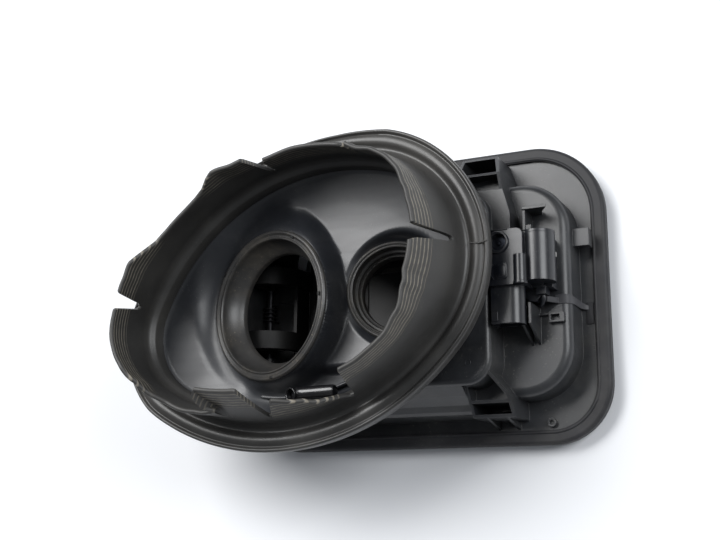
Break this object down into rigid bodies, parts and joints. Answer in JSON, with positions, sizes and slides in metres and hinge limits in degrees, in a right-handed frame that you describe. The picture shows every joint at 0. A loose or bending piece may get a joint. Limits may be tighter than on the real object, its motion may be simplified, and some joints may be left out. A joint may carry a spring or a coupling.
{
  "type": "fuel filler flap housing",
  "caption": "Fuel filler flap housing with a soft-edged flange, twin-neck bowl, rubber skirt, gooseneck flap and electric lock.",
  "frame": {"origin": "on the outer face of the closed flap, level with the middle of the flange", "axes": "+X from the hinge side to the lock side, +Y up the flange in the picture, +Z from the flap's face into the car"},
  "size_m": [0.2756, 0.1809, 0.121],
  "materials": {
    "housing_plastic": "fine moulded grain, semi-matt black",
    "bowl_plastic": "smooth glossy black",
    "edge_rubber": "soft matt black edge",
    "skirt_rubber": "dusty soft matt black",
    "seal_rubber": "matt black",
    "spout_plastic": "glossy black",
    "flap_plastic": "black, primed outer face",
    "clip_plastic": "deep black",
    "lock_plastic": "satin blue-black",
    "motor_can": "zinc-plated can",
    "gear_plastic": "natural acetal",
    "pinion_brass": "turned",
    "steel": "plain",
    "terminal": "tinned",
    "strap_plastic": "flexible black"
  },
  "bodies": {
    "housing": {"filler_pot": "housing_plastic", "edge_seal": "edge_rubber", "neck_bowl": "bowl_plastic", "gaiter_skirt": "skirt_rubber", "fuel_neck_seal": "seal_rubber", "additive_neck_seal": "seal_rubber", "drain_spout": "spout_plastic", "hinge_pin": "steel", "hinge_spring": "steel", "upper_body_clip": "clip_plastic", "lower_body_clip": "clip_plastic", "actuator_housing": "lock_plastic", "actuator_cover": "lock_plastic", "actuator_motor": "motor_can", "lock_pin_seal": "seal_rubber", "connector_terminals": "terminal", "housing_screw": "steel", "motor_cap": "lock_plastic"},
    "flap": {"flap_skin": "flap_plastic", "flap_inner_panel": "housing_plastic", "left_buffer": "seal_rubber", "right_buffer": "seal_rubber"},
    "lock_bolt": {"lock_pin": "gear_plastic"},
    "gear": {"drive_wheel": "gear_plastic"},
    "motor_shaft": {"motor_pinion": "pinion_brass"},
    "release": {"release_rod": "lock_plastic", "release_strap": "strap_plastic"}
  },
  "joints": [
    {"name": "flap_hinge", "type": "hinge", "parent": "housing", "child": "flap", "pos_m": [-0.1, 0, 0.015], "axis": [0, 1, 0], "range_deg": [0, 90]},
    {"name": "lock_slide", "type": "slide", "parent": "housing", "child": "lock_bolt", "axis": [-1, 0, 0], "range_m": [0, 0.008]},
    {"name": "gear_spin", "type": "hinge", "parent": "housing", "child": "gear", "pos_m": [0.0722, 0, 0.0492], "axis": [0, 1, 0], "range_deg": [0, 115]},
    {"name": "motor_spin", "type": "hinge", "parent": "housing", "child": "motor_shaft", "pos_m": [0.0843, 0, 0.0492], "axis": [0, 1, 0], "range_deg": [-316, 0]},
    {"name": "release_pull", "type": "slide", "parent": "housing", "child": "release", "axis": [0, -1, 0], "range_m": [0, 0.003], "stiffness_N_per_m": 150}
  ],
  "couplings": [
    {"joint": "gear_spin", "follows": "lock_slide", "rad_per_m": 250},
    {"joint": "motor_spin", "follows": "lock_slide", "rad_per_m": -687.5}
  ]
}
